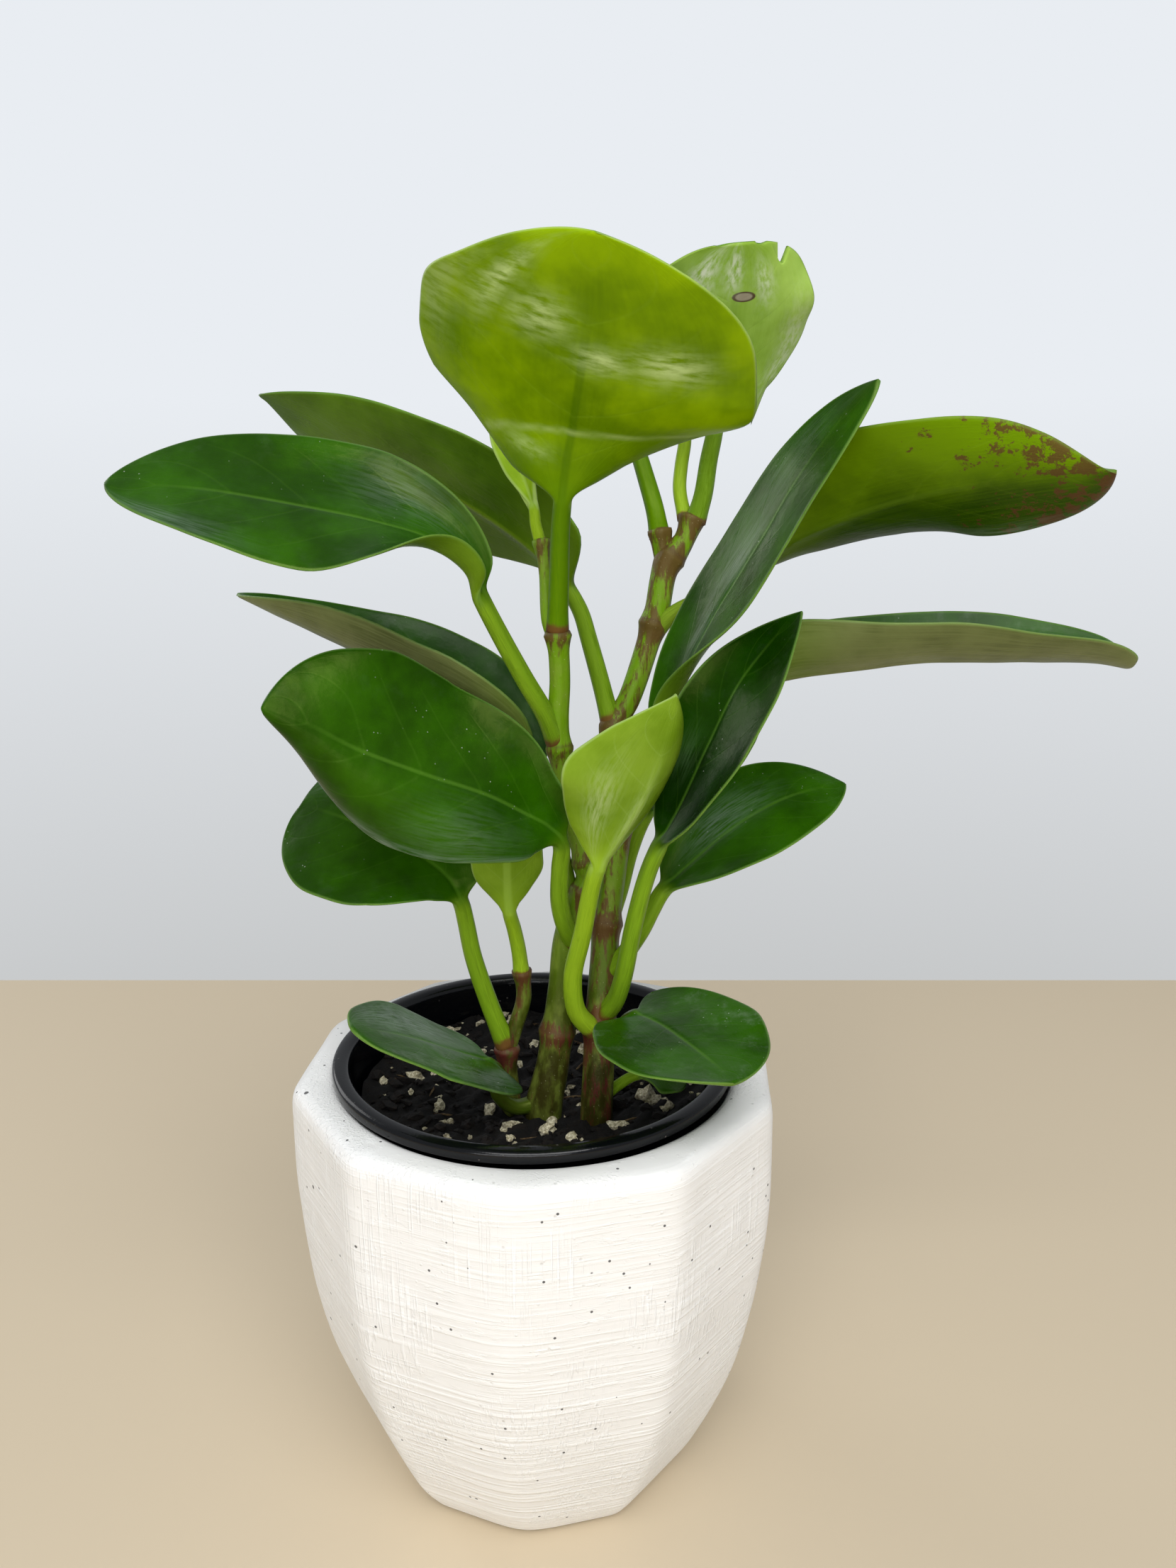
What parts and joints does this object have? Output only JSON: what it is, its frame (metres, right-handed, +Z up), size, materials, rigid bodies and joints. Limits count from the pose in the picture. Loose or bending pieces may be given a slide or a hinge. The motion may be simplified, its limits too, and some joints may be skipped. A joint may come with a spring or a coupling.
{
  "type": "potted peperomia",
  "caption": "Bushy potted peperomia with thick glossy oval leaves, in a black nursery pot set into a tall faceted white cover pot.",
  "frame": {"origin": "middle of the cover pot's flat underside", "axes": "+Z up along the pot's axis, +X to the right as the picture shows the plant, +Y away from the viewer"},
  "size_m": [0.2383, 0.1322, 0.3209],
  "materials": {
    "cover_pot": "matt white paint with brush strokes over a fired clay pot",
    "nursery_pot": "glossy black moulded plastic",
    "soil": "damp dark potting mix of bark and peat with pale perlite grains",
    "stem": "satin green plant stem mottled with red-brown",
    "leaf_dark": "glossy dark green leaf with paler veins",
    "leaf_pale": "satin yellow-green leaf with light shining through"
  },
  "bodies": {
    "root": {"cover_pot": "cover_pot", "nursery_pot": "nursery_pot", "soil": "soil", "stem_front": "stem", "stem_right": "stem", "side_shoot": "stem", "leaf_crown": "leaf_pale", "leaf_top_right": "leaf_pale", "leaf_behind_crown": "leaf_pale", "leaf_young_right": "leaf_pale", "leaf_young_front": "leaf_pale", "leaf_left_upper": "leaf_dark", "leaf_left_back": "leaf_dark", "leaf_left_middle": "leaf_dark", "leaf_left_front": "leaf_dark", "leaf_left_lower": "leaf_dark", "leaf_small_front": "leaf_pale", "leaf_low_left": "leaf_dark", "leaf_low_right": "leaf_dark", "leaf_low_hidden": "leaf_dark", "leaf_pale_front": "leaf_pale", "leaf_right_long": "leaf_dark", "leaf_right_back": "leaf_pale", "leaf_right_middle": "leaf_dark", "leaf_right_level": "leaf_dark", "leaf_right_lower": "leaf_dark", "leaf_right_hidden": "leaf_dark"}
  },
  "joints": []
}
